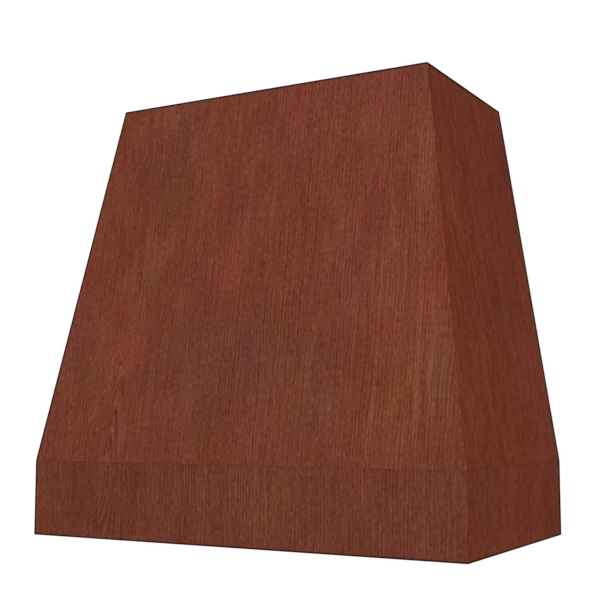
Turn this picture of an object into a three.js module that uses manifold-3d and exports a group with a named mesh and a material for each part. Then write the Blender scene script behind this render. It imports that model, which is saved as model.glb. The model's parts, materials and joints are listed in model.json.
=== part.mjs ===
// Wooden range hood cover: a tapered shell of veneered plywood that hangs on the wall above a
// cooker and hides the extractor insert and its duct. The front and both sides lean in from an
// upright band to a smaller top. The back is open to the wall and the bottom takes the insert.
//
// Millimetres, +Z up, +X to the right, +Y towards the wall. The origin is the middle of the
// footprint, level with the bottom rim, so the front faces -Y and the wall plane is y = WALL.

import * as THREE from "three";
import { mergeVertices } from "three/addons/utils/BufferGeometryUtils.js";
import Module from "manifold-3d";

// ---------- driving dimensions ----------

// outside form
const BASE_WIDTH = 914; // to suit a 36 in range
const BASE_DEPTH = 508;
const HEIGHT = 873;
const BAND_HEIGHT = 146; // upright band below the leaning body
const TOP_WIDTH = 690;
const TOP_DEPTH = 382;
const CORNER_RADIUS = 2; // eased front corners
const RIM_CHAMFER = 1; // eased top and bottom rims

// stock and joints
const BOARD = 18; // veneered plywood, and the rails planed to match it
const GLUE_LINE = 0.3; // between pieces that are glued or that bear on each other
const SPLINE_THICKNESS = 3;
const SPLINE_WIDTH = 18;
const SPLINE_INSET = 9.7; // middle of a spline to the inside corner, along the mitre
const SPLINE_STOP = 12; // the band's splines stop short of its bottom rim

// strips glued over the joints inside
const KNEE_STRIP_THICKNESS = 25;
const KNEE_STRIP_REACH = 38; // above and below the bend
const CORNER_BLOCK_FACE = 34; // width of a corner block's open face

// top frame, and the frame that carries the insert
const TOP_RAIL_WIDTH = 45;
const LINER_RECESS = 34; // bottom rim to the underside of the insert's frame
const LINER_RAIL_WIDTH = 76;
const LEDGER = 18; // square strips above the insert's frame

// back and hanger
const BACK_STILE_WIDTH = 60;
const LOWER_RAIL_HEIGHT = 140;
const HANGING_RAIL_HEIGHT = 100; // at the wall, down to the tip of its bevel
const CLEAT_HEIGHT = 72; // at the wall, up to the foot of its bevel
const CLEAT_END_GAP = 60; // from the cleat's ends to the side panels
const CLEAT_BEVEL = THREE.MathUtils.degToRad(45);
const STUD_SPACING = 406.4; // wall studs at 16 in

// fasteners and their holes
const SCREW_RADIUS = 2;
const SCREW_TIP = 4;
const SCREW_CLEARANCE = 0.3;
const POCKET_HEAD_RADIUS = 4.3;
const POCKET_HEAD_HEIGHT = 2.2;
const POCKET_SCREW_LENGTH = 30.5;
const POCKET_BORE_RADIUS = 4.8;
const POCKET_SLANT = THREE.MathUtils.degToRad(15);
const POCKET_SEAT = 15; // from the rail's end to the shoulder that the head bears on
const FLAT_HEAD_RADIUS = 4;
const FLAT_HEAD_HEIGHT = 2.6;
const FLAT_SCREW_LENGTH = 32;
const DRIVE_SIZE = 2.6; // square drive recess
const DRIVE_DEPTH = 1.5;
const BACK_SCREW_EDGE = 22; // edge of a back rail to its screws
const WALL_HOLE_RADIUS = 2.6; // clearance for a 5 mm wall screw
const WALL_SINK_RADIUS = 5.2;

const ROUND_SIDES = 12;
const CORNER_STEPS = 4;
const FAR = 2 * (BASE_WIDTH + HEIGHT); // past everything, for cutting
const OVERRUN = 20; // how far a cutting form runs past the face that it opens

// ---------- sizes that follow ----------

const WALL = BASE_DEPTH / 2;
const BODY_HEIGHT = HEIGHT - BAND_HEIGHT;
const SIDE_LEAN = Math.atan((BASE_WIDTH - TOP_WIDTH) / 2 / BODY_HEIGHT);
const FRONT_LEAN = Math.atan((BASE_DEPTH - TOP_DEPTH) / BODY_HEIGHT);
const HALF_GLUE = GLUE_LINE / 2;
const LINER_TOP = LINER_RECESS + BOARD;
const TOP_FRAME_UNDERSIDE = HEIGHT - BOARD;
const BACK_FRAME = WALL - BOARD - GLUE_LINE; // behind it lie the boards on the wall plane
const STILE_FRONT = BACK_FRAME - BOARD;
const HANGING_RAIL_TOP = TOP_FRAME_UNDERSIDE - GLUE_LINE;
const HANGING_RAIL_TIP = HANGING_RAIL_TOP - HANGING_RAIL_HEIGHT;
const BEVEL_RISE = BOARD * Math.tan(CLEAT_BEVEL);
const CLEAT_TOP = HANGING_RAIL_TIP - GLUE_LINE / Math.cos(CLEAT_BEVEL); // at the wall
const CLEAT_FOOT = CLEAT_TOP - CLEAT_HEIGHT;
const POCKET_REACH = (BOARD / 2 + POCKET_BORE_RADIUS) / Math.sin(POCKET_SLANT);

const SIDES = [["left", -1], ["right", 1]];
const UP = vec(0, 0, 1);
const DOWN = vec(0, 0, -1);
const TO_WALL = vec(0, 1, 0);
const TO_ROOM = vec(0, -1, 0);

const wasm = await Module();
wasm.setup();

// ---------- solids ----------

function vec(x, y, z) {
  return new THREE.Vector3(x, y, z);
}

// A closed geometry as a solid that can be joined and cut.
function solidOf(geometry) {
  const bare = geometry.clone();
  bare.deleteAttribute("normal");
  bare.deleteAttribute("uv");
  const merged = mergeVertices(bare, 1e-4);
  const corners = merged.index.array;
  const triangles = [];
  for (let i = 0; i < corners.length; i += 3) {
    const [a, b, c] = corners.slice(i, i + 3);
    if (a !== b && b !== c && c !== a) triangles.push(a, b, c);
  }
  const mesh = new wasm.Mesh({
    numProp: 3,
    vertProperties: merged.attributes.position.array,
    triVerts: new Uint32Array(triangles),
  });
  return new wasm.Manifold(mesh);
}

// A box between two corners.
function block(low, high) {
  const size = high.clone().sub(low);
  const middle = low.clone().lerp(high, 0.5);
  const box = new THREE.BoxGeometry(size.x, size.y, size.z);
  return solidOf(box.translate(middle.x, middle.y, middle.z));
}

// Everything past a plane, for cutting a board's edge.
function beyond(point, normal) {
  const box = new THREE.BoxGeometry(2 * FAR, 2 * FAR, FAR).translate(0, 0, FAR / 2);
  box.applyQuaternion(new THREE.Quaternion().setFromUnitVectors(UP, normal));
  return solidOf(box.translate(point.x, point.y, point.z));
}

// A round rod between two points; it may taper.
function rod(start, end, startRadius, endRadius = startRadius) {
  const way = end.clone().sub(start);
  const middle = start.clone().lerp(end, 0.5);
  const cylinder = new THREE.CylinderGeometry(endRadius, startRadius, way.length(), ROUND_SIDES);
  cylinder.applyQuaternion(new THREE.Quaternion().setFromUnitVectors(vec(0, 1, 0), way.normalize()));
  return solidOf(cylinder.translate(middle.x, middle.y, middle.z));
}

// A closed solid through level rings of matching points, lowest first, each running
// counter-clockwise seen from above.
function loft(rings) {
  const count = rings[0].length;
  const index = [];
  for (let level = 0; level < rings.length - 1; level++) {
    for (let i = 0; i < count; i++) {
      const a = level * count + i;
      const b = level * count + ((i + 1) % count);
      index.push(a, b, b + count, a, b + count, a + count);
    }
  }
  const top = (rings.length - 1) * count;
  for (let i = 1; i < count - 1; i++) {
    index.push(0, i + 1, i, top, top + i, top + i + 1);
  }
  const geometry = new THREE.BufferGeometry().setFromPoints(rings.flat());
  return solidOf(geometry.setIndex(index));
}

// An outline of [y, z] points drawn out along X, the same length either side of the middle.
function drawnAlongX(outline, length) {
  const shape = new THREE.Shape(outline.map(([y, z]) => new THREE.Vector2(y, z)));
  const drawn = new THREE.ExtrudeGeometry(shape, { depth: length, bevelEnabled: false });
  const turn = new THREE.Matrix4().makeBasis(vec(0, 1, 0), UP, vec(1, 0, 0));
  return solidOf(drawn.applyMatrix4(turn).translate(-length / 2, 0, 0));
}

// ---------- the outside and the inside ----------

// Half width and front plane of the outside: upright to the top of the band, then drawing in.
function outsideHalfAt(z) {
  return BASE_WIDTH / 2 - Math.max(0, z - BAND_HEIGHT) * Math.tan(SIDE_LEAN);
}

function outsideFrontAt(z) {
  return WALL - BASE_DEPTH + Math.max(0, z - BAND_HEIGHT) * Math.tan(FRONT_LEAN);
}

// The same on the inner faces of boards with a lean, carried on above and below the bend.
function innerHalf(z, lean) {
  return BASE_WIDTH / 2 - (z - BAND_HEIGHT) * Math.tan(lean) - BOARD / Math.cos(lean);
}

function innerFront(z, lean) {
  return WALL - BASE_DEPTH + (z - BAND_HEIGHT) * Math.tan(lean) + BOARD / Math.cos(lean);
}

function insideHalfAt(z) {
  return Math.min(innerHalf(z, 0), innerHalf(z, SIDE_LEAN));
}

function insideFrontAt(z) {
  return Math.max(innerFront(z, 0), innerFront(z, FRONT_LEAN));
}

// The outline of the outside at a height, with its front corners rounded.
function outsideRing(z, inset = 0) {
  const half = outsideHalfAt(z) - inset;
  const front = outsideFrontAt(z) + inset;
  const radius = CORNER_RADIUS - inset;
  const ring = [vec(half, WALL, z), vec(-half, WALL, z)];
  for (const [, side] of SIDES) {
    for (let step = 0; step <= CORNER_STEPS; step++) {
      const angle = (Math.PI / 2) * (step / CORNER_STEPS + (side < 0 ? 2 : 3));
      const x = side * (half - radius) + radius * Math.cos(angle);
      ring.push(vec(x, front + radius + radius * Math.sin(angle), z));
    }
  }
  return ring;
}

// The room inside boards with these leans, a clearance off their faces and open past the wall.
function roomInside(sideLean, frontLean, clearance) {
  const ringAt = (z) => {
    const half = innerHalf(z, sideLean) - clearance;
    const front = innerFront(z, frontLean) + clearance;
    const back = WALL + OVERRUN;
    return [vec(half, back, z), vec(-half, back, z), vec(-half, front, z), vec(half, front, z)];
  };
  return loft([ringAt(-OVERRUN), ringAt(HEIGHT + OVERRUN)]);
}

// The room inside the whole shell.
function cavity(clearance) {
  return roomInside(0, 0, clearance).intersect(roomInside(SIDE_LEAN, FRONT_LEAN, clearance));
}

// A level slice of the room inside, between two heights and two depths, that fits the shell all
// round; with a border it is only a strip of that width along the shell.
function fitted(zLow, zHigh, yLow, yHigh, border = 0) {
  const slice = block(vec(-FAR, yLow, zLow), vec(FAR, yHigh, zHigh)).intersect(cavity(GLUE_LINE));
  return border ? slice.subtract(cavity(GLUE_LINE + border)) : slice;
}

// What lies on one side, from a distance off the centre line outwards.
function outerPart(solid, side, from = 0) {
  return solid.subtract(beyond(vec(side * from, 0, 0), vec(-side, 0, 0)));
}

// What lies within a distance of the centre line.
function middlePart(solid, half) {
  const right = beyond(vec(half, 0, 0), vec(1, 0, 0));
  const left = beyond(vec(-half, 0, 0), vec(-1, 0, 0));
  return solid.subtract(right).subtract(left);
}

// ---------- mitred front corners ----------

// The joint between the front and one side. Its plane runs from the outside corner's edge to the
// inside one's. "across" lies in the plane and points inwards, square to the edge; "normal" is
// square to the plane and points at the side board; "width" is the joint's size along "across".
function mitre(side, zLow, zHigh, sideLean, frontLean) {
  const cornerAt = (z) => vec(side * outsideHalfAt(z), outsideFrontAt(z), z);
  const origin = cornerAt(zLow);
  const edge = cornerAt(zHigh).sub(origin).normalize();
  const inwards = vec(-side * BOARD / Math.cos(sideLean), BOARD / Math.cos(frontLean), 0);
  const normal = edge.clone().cross(inwards).multiplyScalar(-side).normalize();
  const across = edge.clone().cross(normal).multiplyScalar(side).normalize();
  return { side, origin, edge, normal, across, width: inwards.dot(across) };
}

function bodyMitre(side) {
  return mitre(side, BAND_HEIGHT, HEIGHT, SIDE_LEAN, FRONT_LEAN);
}

function bandMitre(side) {
  return mitre(side, 0, BAND_HEIGHT, 0, 0);
}

// The front board of a shell is what both mitres leave between them.
function frontBoard(shell, mitreOf) {
  let board = shell;
  for (const [, side] of SIDES) {
    const joint = mitreOf(side);
    const face = joint.origin.clone().addScaledVector(joint.normal, -HALF_GLUE);
    board = board.subtract(beyond(face, joint.normal));
  }
  return board;
}

// A side board of a shell is what lies past its mitre.
function sideBoard(shell, joint) {
  const face = joint.origin.clone().addScaledVector(joint.normal, HALF_GLUE);
  return shell.subtract(beyond(face, joint.normal.clone().negate()));
}

// The loose tongue that keys a mitre or, with an allowance, the groove that takes it.
function tongue(joint, zLow, zHigh, allowance = 0) {
  const thickness = SPLINE_THICKNESS + 2 * allowance;
  const width = SPLINE_WIDTH + 2 * allowance;
  const strip = new THREE.BoxGeometry(thickness, width, 2 * FAR);
  const middle = joint.origin.clone().addScaledVector(joint.across, joint.width - SPLINE_INSET);
  const acrossOut = joint.across.clone().multiplyScalar(-joint.side);
  const turn = new THREE.Matrix4().makeBasis(acrossOut, joint.normal, joint.edge);
  const slice = block(vec(-FAR, -FAR, zLow - allowance), vec(FAR, FAR, zHigh + allowance));
  return solidOf(strip.applyMatrix4(turn.setPosition(middle))).intersect(slice);
}

// ---------- boards ----------

const boards = new Map();

function cut(name, tool) {
  boards.set(name, boards.get(name).subtract(tool));
}

function addSpline(name, joint, zLow, zHigh, joinedBoards) {
  const groove = tongue(joint, zLow, zHigh, GLUE_LINE);
  joinedBoards.forEach((board) => cut(board, groove));
  boards.set(name, tongue(joint, zLow, zHigh));
}

// Three leaning panels, keyed together by splines.
function makeBody() {
  const outside = loft([
    outsideRing(BAND_HEIGHT + HALF_GLUE),
    outsideRing(HEIGHT - RIM_CHAMFER),
    outsideRing(HEIGHT, RIM_CHAMFER),
  ]);
  const shell = outside.subtract(cavity(0));
  boards.set("front_panel", frontBoard(shell, bodyMitre));
  for (const [name, side] of SIDES) {
    const joint = bodyMitre(side);
    const panel = `${name}_side_panel`;
    boards.set(panel, sideBoard(shell, joint));
    addSpline(`${name}_corner_spline`, joint, BAND_HEIGHT + GLUE_LINE, HEIGHT, ["front_panel", panel]);
  }
}

// Three upright boards below them, keyed in the same way.
function makeBand() {
  const outside = loft([
    outsideRing(0, RIM_CHAMFER),
    outsideRing(RIM_CHAMFER),
    outsideRing(BAND_HEIGHT - HALF_GLUE),
  ]);
  const shell = outside.subtract(cavity(0));
  const splineTop = BAND_HEIGHT - GLUE_LINE;
  boards.set("front_band", frontBoard(shell, bandMitre));
  for (const [name, side] of SIDES) {
    const joint = bandMitre(side);
    const band = `${name}_side_band`;
    boards.set(band, sideBoard(shell, joint));
    addSpline(`${name}_band_spline`, joint, SPLINE_STOP, splineTop, ["front_band", band]);
  }
}

// Strips glued across the bend, which hold the panels to the band.
function makeKneeStrips() {
  const low = BAND_HEIGHT - KNEE_STRIP_REACH;
  const high = BAND_HEIGHT + KNEE_STRIP_REACH;
  const frontFace = insideFrontAt(0) + KNEE_STRIP_THICKNESS;
  const sideFace = insideHalfAt(0) - KNEE_STRIP_THICKNESS;
  boards.set("front_knee_strip", fitted(low, high, -FAR, frontFace));
  const lengthwise = fitted(low, high, frontFace + GLUE_LINE, STILE_FRONT - GLUE_LINE);
  for (const [name, side] of SIDES) {
    boards.set(`${name}_knee_strip`, outerPart(lengthwise, side, sideFace));
  }
}

// Three-cornered blocks up the inside of the leaning corners.
function makeCornerBlocks() {
  const low = BAND_HEIGHT + KNEE_STRIP_REACH + GLUE_LINE;
  const slice = fitted(low, TOP_FRAME_UNDERSIDE - GLUE_LINE, -FAR, FAR);
  for (const [name, side] of SIDES) {
    const joint = bodyMitre(side);
    const depth = joint.width + CORNER_BLOCK_FACE / 2;
    const face = joint.origin.clone().addScaledVector(joint.across, depth);
    boards.set(`${name}_corner_block`, slice.subtract(beyond(face, joint.across)));
  }
}

// A level frame: the front and back rails run through and the side rails fit between them.
function makeFrame(prefix, zLow, railWidth, backFace) {
  const zHigh = zLow + BOARD;
  const frontEdge = insideFrontAt(zHigh) + railWidth;
  const backEdge = backFace - railWidth;
  const sideEdge = insideHalfAt(zHigh) - railWidth;
  boards.set(`${prefix}_front_rail`, fitted(zLow, zHigh, -FAR, frontEdge));
  boards.set(`${prefix}_back_rail`, fitted(zLow, zHigh, backEdge, backFace));
  const lengthwise = fitted(zLow, zHigh, frontEdge + GLUE_LINE, backEdge - GLUE_LINE);
  for (const [name, side] of SIDES) {
    boards.set(`${prefix}_${name}_rail`, outerPart(lengthwise, side, sideEdge));
  }
  return { zMiddle: zLow + BOARD / 2, frontEdge, backEdge, sideEdge };
}

// Square strips on the band, which the insert's frame is screwed up into.
function makeLedgers() {
  const low = LINER_TOP + GLUE_LINE;
  const high = low + LEDGER;
  const frontFace = insideFrontAt(high) + GLUE_LINE + LEDGER;
  const lengthwise = fitted(low, high, frontFace + GLUE_LINE, STILE_FRONT - GLUE_LINE, LEDGER);
  const crosswise = fitted(low, high, BACK_FRAME - LEDGER, BACK_FRAME);
  boards.set("front_ledger", fitted(low, high, -FAR, frontFace));
  boards.set("back_ledger", middlePart(crosswise, insideHalfAt(high) - BACK_STILE_WIDTH - 2 * GLUE_LINE));
  for (const [name, side] of SIDES) {
    boards.set(`${name}_ledger`, outerPart(lengthwise, side));
  }
}

// A stile up the back edge of each side, cut to the bend, and a low rail for wall screws.
function makeBack() {
  const high = TOP_FRAME_UNDERSIDE - GLUE_LINE;
  const stiles = fitted(LINER_TOP + GLUE_LINE, high, STILE_FRONT, BACK_FRAME, BACK_STILE_WIDTH);
  for (const [name, side] of SIDES) {
    boards.set(`${name}_back_stile`, outerPart(stiles, side));
  }
  boards.set("lower_back_rail", fitted(0, LOWER_RAIL_HEIGHT, WALL - BOARD, WALL));
}

// The hanger is a pair of bevelled boards. The wall cleat's lip stands in front of the hanging
// rail's tip, so the cover can't come forward, and lifts straight up to come off.
function makeHanger() {
  const rail = drawnAlongX([
    [WALL - BOARD, HANGING_RAIL_TOP],
    [WALL - BOARD, HANGING_RAIL_TIP + BEVEL_RISE],
    [WALL, HANGING_RAIL_TIP],
    [WALL, HANGING_RAIL_TOP],
  ], BASE_WIDTH);
  boards.set("hanging_rail", rail.intersect(cavity(GLUE_LINE)));
  const lip = CLEAT_TOP + BEVEL_RISE;
  const cleatLength = 2 * (insideHalfAt(lip) - CLEAT_END_GAP);
  boards.set("wall_cleat", drawnAlongX([
    [WALL - BOARD, lip],
    [WALL - BOARD, CLEAT_FOOT],
    [WALL, CLEAT_FOOT],
    [WALL, CLEAT_TOP],
  ], cleatLength));
}

// ---------- screws and their holes ----------

const screws = [];

// Wall-screw holes, countersunk from the room side, in line with the studs.
function drillWallHoles() {
  const face = WALL - BOARD;
  const sinkDepth = WALL_SINK_RADIUS - WALL_HOLE_RADIUS;
  const holes = [
    ["wall_cleat", CLEAT_FOOT + BACK_SCREW_EDGE],
    ["wall_cleat", CLEAT_TOP - BACK_SCREW_EDGE],
    ["lower_back_rail", LOWER_RAIL_HEIGHT - BACK_SCREW_EDGE],
  ];
  for (const [board, z] of holes) {
    for (const [, side] of SIDES) {
      const at = (y) => vec(side * STUD_SPACING / 2, y, z);
      cut(board, rod(at(face - 1), at(WALL + 1), WALL_HOLE_RADIUS));
      cut(board, rod(at(face - 1), at(face + sinkDepth), WALL_SINK_RADIUS + 1, WALL_HOLE_RADIUS));
    }
  }
}

// A screw turned from [radius, distance] points along +Z, with a square recess in its head.
function turnedScrew(profile) {
  const outline = profile.map(([radius, along]) => new THREE.Vector2(radius, along));
  const turned = new THREE.LatheGeometry(outline, ROUND_SIDES).rotateX(Math.PI / 2);
  const headTop = outline[0].y;
  const half = DRIVE_SIZE / 2;
  const recess = block(vec(-half, -half, headTop - 1), vec(half, half, headTop + DRIVE_DEPTH));
  return solidOf(turned).subtract(recess);
}

const pocketScrew = turnedScrew([
  [0, -POCKET_HEAD_HEIGHT],
  [POCKET_HEAD_RADIUS, -POCKET_HEAD_HEIGHT],
  [POCKET_HEAD_RADIUS, 0],
  [SCREW_RADIUS, 0],
  [SCREW_RADIUS, POCKET_SCREW_LENGTH - SCREW_TIP],
  [0, POCKET_SCREW_LENGTH],
]);

const flatScrew = turnedScrew([
  [0, 0],
  [FLAT_HEAD_RADIUS, 0],
  [SCREW_RADIUS, FLAT_HEAD_HEIGHT],
  [SCREW_RADIUS, FLAT_SCREW_LENGTH - SCREW_TIP],
  [0, FLAT_SCREW_LENGTH],
]);

// A slanted screw out of a rail's end into the board that it meets. "end" is the middle of the
// end face, "out" points out of it, and "face" points out of the face that the pocket is in.
function addPocketScrew(name, rail, mate, end, out, face) {
  const way = out.clone().multiplyScalar(Math.cos(POCKET_SLANT));
  way.addScaledVector(face, -Math.sin(POCKET_SLANT));
  const at = (distance) => end.clone().addScaledVector(way, distance);
  const tip = POCKET_SCREW_LENGTH - POCKET_SEAT;
  const hole = SCREW_RADIUS + SCREW_CLEARANCE;
  cut(rail, rod(at(-POCKET_REACH), at(-POCKET_SEAT), POCKET_BORE_RADIUS));
  cut(rail, rod(at(-POCKET_SEAT - 1), at(tip), hole));
  cut(mate, rod(at(-POCKET_SEAT), at(tip + SCREW_CLEARANCE), hole));
  screws.push({ name, solid: pocketScrew, position: at(-POCKET_SEAT - SCREW_CLEARANCE), way });
}

// A countersunk screw square through one board into the next. "head" is a point on the face.
function addFlatScrew(name, through, into, head, way) {
  const at = (distance) => head.clone().addScaledVector(way, distance);
  const hole = SCREW_RADIUS + SCREW_CLEARANCE;
  const sinkDepth = FLAT_HEAD_HEIGHT + 2 * SCREW_CLEARANCE;
  const rim = FLAT_HEAD_RADIUS + 2 * SCREW_CLEARANCE;
  cut(through, rod(at(-1), at(BOARD + 1), hole));
  cut(through, rod(at(-SCREW_CLEARANCE), at(sinkDepth), rim, hole));
  cut(into, rod(at(BOARD - 1), at(FLAT_SCREW_LENGTH + 2 * SCREW_CLEARANCE), hole));
  screws.push({ name, solid: flatScrew, position: at(SCREW_CLEARANCE), way });
}

// Pocket screws out of both ends of a frame's side rails, spread over the width clear of ledgers.
function screwFrame(prefix, frame, clearWidth, count, face) {
  for (const [name, side] of SIDES) {
    for (let i = 0; i < count; i++) {
      const x = side * (frame.sideEdge + (clearWidth * (i + 0.5)) / count);
      const rail = `${prefix}_${name}_rail`;
      const label = `${prefix}_${name}_screw`;
      const front = vec(x, frame.frontEdge + GLUE_LINE, frame.zMiddle);
      const back = vec(x, frame.backEdge - GLUE_LINE, frame.zMiddle);
      addPocketScrew(`${label}_front_${i + 1}`, rail, `${prefix}_front_rail`, front, TO_ROOM, face);
      addPocketScrew(`${label}_back_${i + 1}`, rail, `${prefix}_back_rail`, back, TO_WALL, face);
    }
  }
}

// Pocket screws out of both ends of the lower back rail, hidden on its wall side.
function screwLowerRail() {
  const heights = [BACK_SCREW_EDGE, LOWER_RAIL_HEIGHT - BACK_SCREW_EDGE];
  for (const [name, side] of SIDES) {
    heights.forEach((z, i) => {
      const end = vec(side * (insideHalfAt(0) - GLUE_LINE), WALL - BOARD / 2, z);
      const label = `lower_rail_${name}_screw_${i + 1}`;
      addPocketScrew(label, "lower_back_rail", `${name}_side_band`, end, vec(side, 0, 0), TO_WALL);
    });
  }
}

// Countersunk screws from the wall side, through the hanging rail into the stiles.
function screwHangingRail() {
  const heights = [HANGING_RAIL_TIP + BEVEL_RISE + BACK_SCREW_EDGE, HANGING_RAIL_TOP - BACK_SCREW_EDGE];
  for (const [name, side] of SIDES) {
    heights.forEach((z, i) => {
      const head = vec(side * (insideHalfAt(z) - BACK_STILE_WIDTH / 2), WALL, z);
      const label = `hanging_rail_${name}_screw_${i + 1}`;
      addFlatScrew(label, "hanging_rail", `${name}_back_stile`, head, TO_ROOM);
    });
  }
}

// Countersunk screws from below, through the insert's frame into the ledgers.
function screwLedgers() {
  const front = insideFrontAt(0) + LEDGER / 2;
  const back = BACK_FRAME - LEDGER / 2;
  const reach = insideHalfAt(0) - LEDGER / 2;
  for (const [name, side] of SIDES) {
    const head = (x, y) => vec(side * x, y, LINER_RECESS);
    const label = (place) => `${place}_ledger_screw`;
    addFlatScrew(label(`front_${name}`), "liner_front_rail", "front_ledger", head(reach / 2, front), UP);
    addFlatScrew(label(`back_${name}`), "liner_back_rail", "back_ledger", head(reach / 2, back), UP);
    addFlatScrew(label(name), `liner_${name}_rail`, `${name}_ledger`, head(reach, 0), UP);
  }
}

// ---------- assembly ----------

makeBody();
makeBand();
makeKneeStrips();
makeCornerBlocks();
const topFrame = makeFrame("top", TOP_FRAME_UNDERSIDE, TOP_RAIL_WIDTH, WALL);
const linerFrame = makeFrame("liner", LINER_RECESS, LINER_RAIL_WIDTH, BACK_FRAME);
makeLedgers();
makeBack();
makeHanger();

drillWallHoles();
screwFrame("top", topFrame, TOP_RAIL_WIDTH, 1, DOWN);
screwFrame("liner", linerFrame, LINER_RAIL_WIDTH - LEDGER, 2, UP);
screwLowerRail();
screwHangingRail();
screwLedgers();

function finish(color, roughness, metalness = 0) {
  return new THREE.MeshStandardMaterial({ color, roughness, metalness, flatShading: true });
}

const stainedVeneer = finish("#773c2b", 0.4);
const birchPlywood = finish("#c9a877", 0.6);
const poplar = finish("#b7a274", 0.65);
const zincedSteel = finish("#9b9a92", 0.35, 0.9);

function finishOf(name) {
  if (/panel$|band$|^liner/.test(name)) return stainedVeneer;
  return /spline|strip|block|ledger/.test(name) ? poplar : birchPlywood;
}

function meshOf(name, solid, material) {
  const { vertProperties, triVerts } = solid.getMesh();
  const geometry = new THREE.BufferGeometry();
  geometry.setAttribute("position", new THREE.BufferAttribute(vertProperties, 3));
  geometry.setIndex(new THREE.BufferAttribute(triVerts, 1));
  geometry.computeVertexNormals();
  const mesh = new THREE.Mesh(geometry, material);
  mesh.name = name;
  return mesh;
}

const cover = new THREE.Group();
const wallHanger = new THREE.Group();
for (const [name, solid] of boards) {
  const holder = name === "wall_cleat" ? wallHanger : cover;
  holder.add(meshOf(name, solid, finishOf(name)));
}
for (const { name, solid, position, way } of screws) {
  const screw = meshOf(name, solid, zincedSteel);
  screw.position.copy(position);
  screw.quaternion.setFromUnitVectors(UP, way);
  cover.add(screw);
}

const hoodCover = new THREE.Group();
hoodCover.add(wallHanger, cover);

export default hoodCover;
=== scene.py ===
# Looks of a wooden range hood cover: finishes, screws with threads, studio and camera.
#
# Metres, +Z up, +Y towards the wall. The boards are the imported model's own. They get finishes,
# eased edges and smooth bores here. Every finish is worked out from a board's own directions: along
# its grain, across it, and out of its broad face.

import json
import math
from collections import namedtuple

import bmesh
import bpy
from mathutils import Matrix, Vector

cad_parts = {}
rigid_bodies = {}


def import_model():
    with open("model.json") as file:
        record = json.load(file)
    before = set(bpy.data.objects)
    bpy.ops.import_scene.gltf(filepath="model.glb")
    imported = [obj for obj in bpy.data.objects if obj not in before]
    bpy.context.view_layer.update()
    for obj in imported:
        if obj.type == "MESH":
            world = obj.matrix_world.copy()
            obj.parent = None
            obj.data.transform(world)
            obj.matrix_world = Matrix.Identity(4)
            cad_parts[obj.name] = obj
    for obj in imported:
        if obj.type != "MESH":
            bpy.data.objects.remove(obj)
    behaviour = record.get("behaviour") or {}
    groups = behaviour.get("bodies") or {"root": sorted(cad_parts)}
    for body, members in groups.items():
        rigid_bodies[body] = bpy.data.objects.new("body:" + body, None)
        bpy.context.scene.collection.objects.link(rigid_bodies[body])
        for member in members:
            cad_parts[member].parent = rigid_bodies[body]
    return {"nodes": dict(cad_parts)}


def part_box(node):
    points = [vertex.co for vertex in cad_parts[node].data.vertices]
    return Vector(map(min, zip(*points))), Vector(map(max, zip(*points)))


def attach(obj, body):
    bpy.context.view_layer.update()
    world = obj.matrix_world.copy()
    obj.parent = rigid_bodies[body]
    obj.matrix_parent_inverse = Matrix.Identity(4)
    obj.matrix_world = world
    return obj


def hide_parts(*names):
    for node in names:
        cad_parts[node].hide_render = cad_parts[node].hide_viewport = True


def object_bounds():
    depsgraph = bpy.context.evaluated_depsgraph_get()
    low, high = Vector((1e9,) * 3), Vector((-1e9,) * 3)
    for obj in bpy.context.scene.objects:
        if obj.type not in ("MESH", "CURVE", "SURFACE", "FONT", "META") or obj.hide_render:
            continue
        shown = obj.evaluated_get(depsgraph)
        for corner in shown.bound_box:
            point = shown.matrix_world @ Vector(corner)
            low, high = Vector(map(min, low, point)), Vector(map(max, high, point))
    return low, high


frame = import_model()
cad_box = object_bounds()

MM = 0.001
UP = Vector((0, 0, 1))
LEFT = Vector((-1, 0, 0))
RIGHT = Vector((1, 0, 0))
FRONT = Vector((0, -1, 0))
BACK = Vector((0, 1, 0))

# ---------- camera, as the photograph was taken ----------

CAMERA_PLACE = (1.1143, -1.9578, 0.2338)
CAMERA_TILT = math.radians(5.93)  # above the horizon
CAMERA_TURN = math.radians(29.5)  # to the left of straight ahead
LENS = 67.1
SENSOR = 36.0
NEAREST_SEEN = 0.05

# ---------- studio ----------

FLOOR_LEVEL = -2.4  # far enough below for the underside to be seen
FLOOR_RADIUS = 6.0
FLOOR_SIDES = 96
FLOOR_PLAIN_RADIUS = 2.5  # from here outwards the floor fades into the white background
FLOOR_COLOUR = (0.80, 0.79, 0.77)
AMBIENT = 0.40
WHITE = (1, 1, 1, 1)

# Where a lamp stands as seen from the cover, how far away, its width and its power.
Lamp = namedtuple("Lamp", "way distance width power")
LAMPS = {
    "key": Lamp(Vector((-0.08, -0.74, 0.62)), 6.0, 3.6, 235.0),
    "fill": Lamp(Vector((0.96, -0.20, 0.05)), 5.0, 3.6, 90.0),
    "back": Lamp(Vector((-0.25, 0.85, 0.45)), 6.0, 3.6, 120.0),
}

# ---------- stock ----------

BOARD = 18 * MM
LAYERS = 7  # in the plywood
KNEE_HEIGHT = 146 * MM  # where the leaning panels stand on the band
STAINED_INSIDE_BELOW = 40 * MM  # the inside of the band is stained up to the insert's frame

# Colours are linear. The stain runs between its darkest pores and its palest fibres.
STAIN_DARK = (0.1106, 0.0158, 0.0056)
STAIN_PALE = (0.2310, 0.0815, 0.0528)
BIRCH = (0.70, 0.52, 0.32)
BIRCH_DARK = (0.58, 0.40, 0.225)
PLY_END = (0.38, 0.235, 0.125)
PLY_GLUE = (0.16, 0.085, 0.042)
POPLAR = (0.63, 0.50, 0.29)
POPLAR_GREEN = (0.54, 0.46, 0.25)
ZINC = (0.60, 0.61, 0.62)
ZINC_DULL = (0.42, 0.42, 0.41)

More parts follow.
